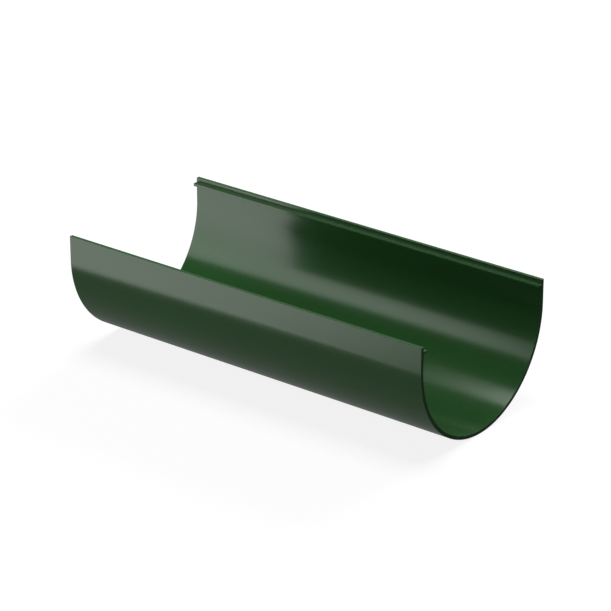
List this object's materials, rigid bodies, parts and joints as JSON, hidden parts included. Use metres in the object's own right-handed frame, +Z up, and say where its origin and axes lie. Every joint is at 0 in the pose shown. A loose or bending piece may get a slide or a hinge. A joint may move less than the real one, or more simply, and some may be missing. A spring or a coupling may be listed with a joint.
{
  "type": "gutter section",
  "caption": "Short length of plain extruded half-round rain gutter with tall straight sides, square sawn ends and a small lip inside each rim.",
  "frame": {"origin": "middle of the gutter's lowest outside line, on the plane it rests on", "axes": "+X along the gutter, +Y across it towards the far rim, +Z up out of its open top"},
  "size_m": [0.257, 0.12, 0.0752],
  "materials": {
    "green_plastic": "satin"
  },
  "bodies": {
    "root": {"gutter": "green_plastic"}
  },
  "joints": []
}
